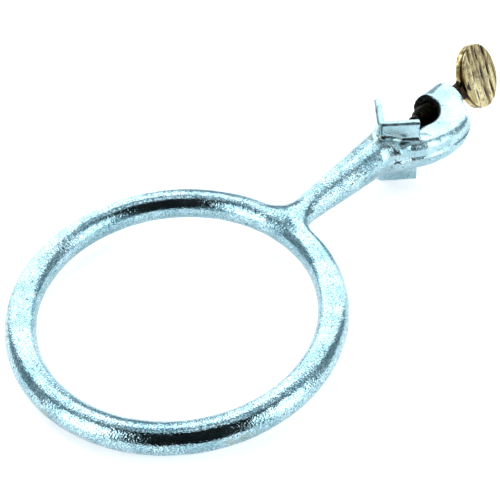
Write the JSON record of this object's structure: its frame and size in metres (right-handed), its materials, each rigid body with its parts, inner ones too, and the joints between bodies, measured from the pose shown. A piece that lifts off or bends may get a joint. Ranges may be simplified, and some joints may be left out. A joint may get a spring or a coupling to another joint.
{
  "type": "laboratory support ring with rod clamp",
  "caption": "Round cast support ring on a short stem, with a vee-jawed hook clamp and a thumbscrew that grip an upright rod.",
  "frame": {"origin": "middle of the bounding box, which lies in the ring's mid-plane on the line through the ring and the screw", "axes": "+X along the stem from the ring to the thumbscrew, +Z along the rod that the clamp holds, +Y to the left of the stem"},
  "size_m": [0.2542, 0.1228, 0.03],
  "materials": {
    "zinc_plated_iron": "bright blue zinc plate over a sand-cast surface",
    "dark_brass": "tarnished thread",
    "brass": "cast brass with filed faces and brown tarnish"
  },
  "bodies": {
    "casting": {"support_ring": "zinc_plated_iron", "stem": "zinc_plated_iron", "vee_jaw": "zinc_plated_iron", "hook_jaw": "zinc_plated_iron"},
    "screw_feed": {"screw_tip": "dark_brass"},
    "thumbscrew": {"screw_shank": "dark_brass", "screw_head": "brass"}
  },
  "joints": [
    {"name": "screw_feed_slide", "type": "slide", "parent": "casting", "child": "screw_feed", "axis": [-1, 0, 0], "range_m": [-0.0102, 0.0044]},
    {"name": "screw_turn", "type": "hinge", "parent": "screw_feed", "child": "thumbscrew", "pos_m": [0.0723, 0, 0], "axis": [-1, 0, 0], "range_deg": [-2314, 998]}
  ],
  "couplings": [
    {"joint": "screw_turn", "follows": "screw_feed_slide", "rad_per_m": 3957.9}
  ]
}
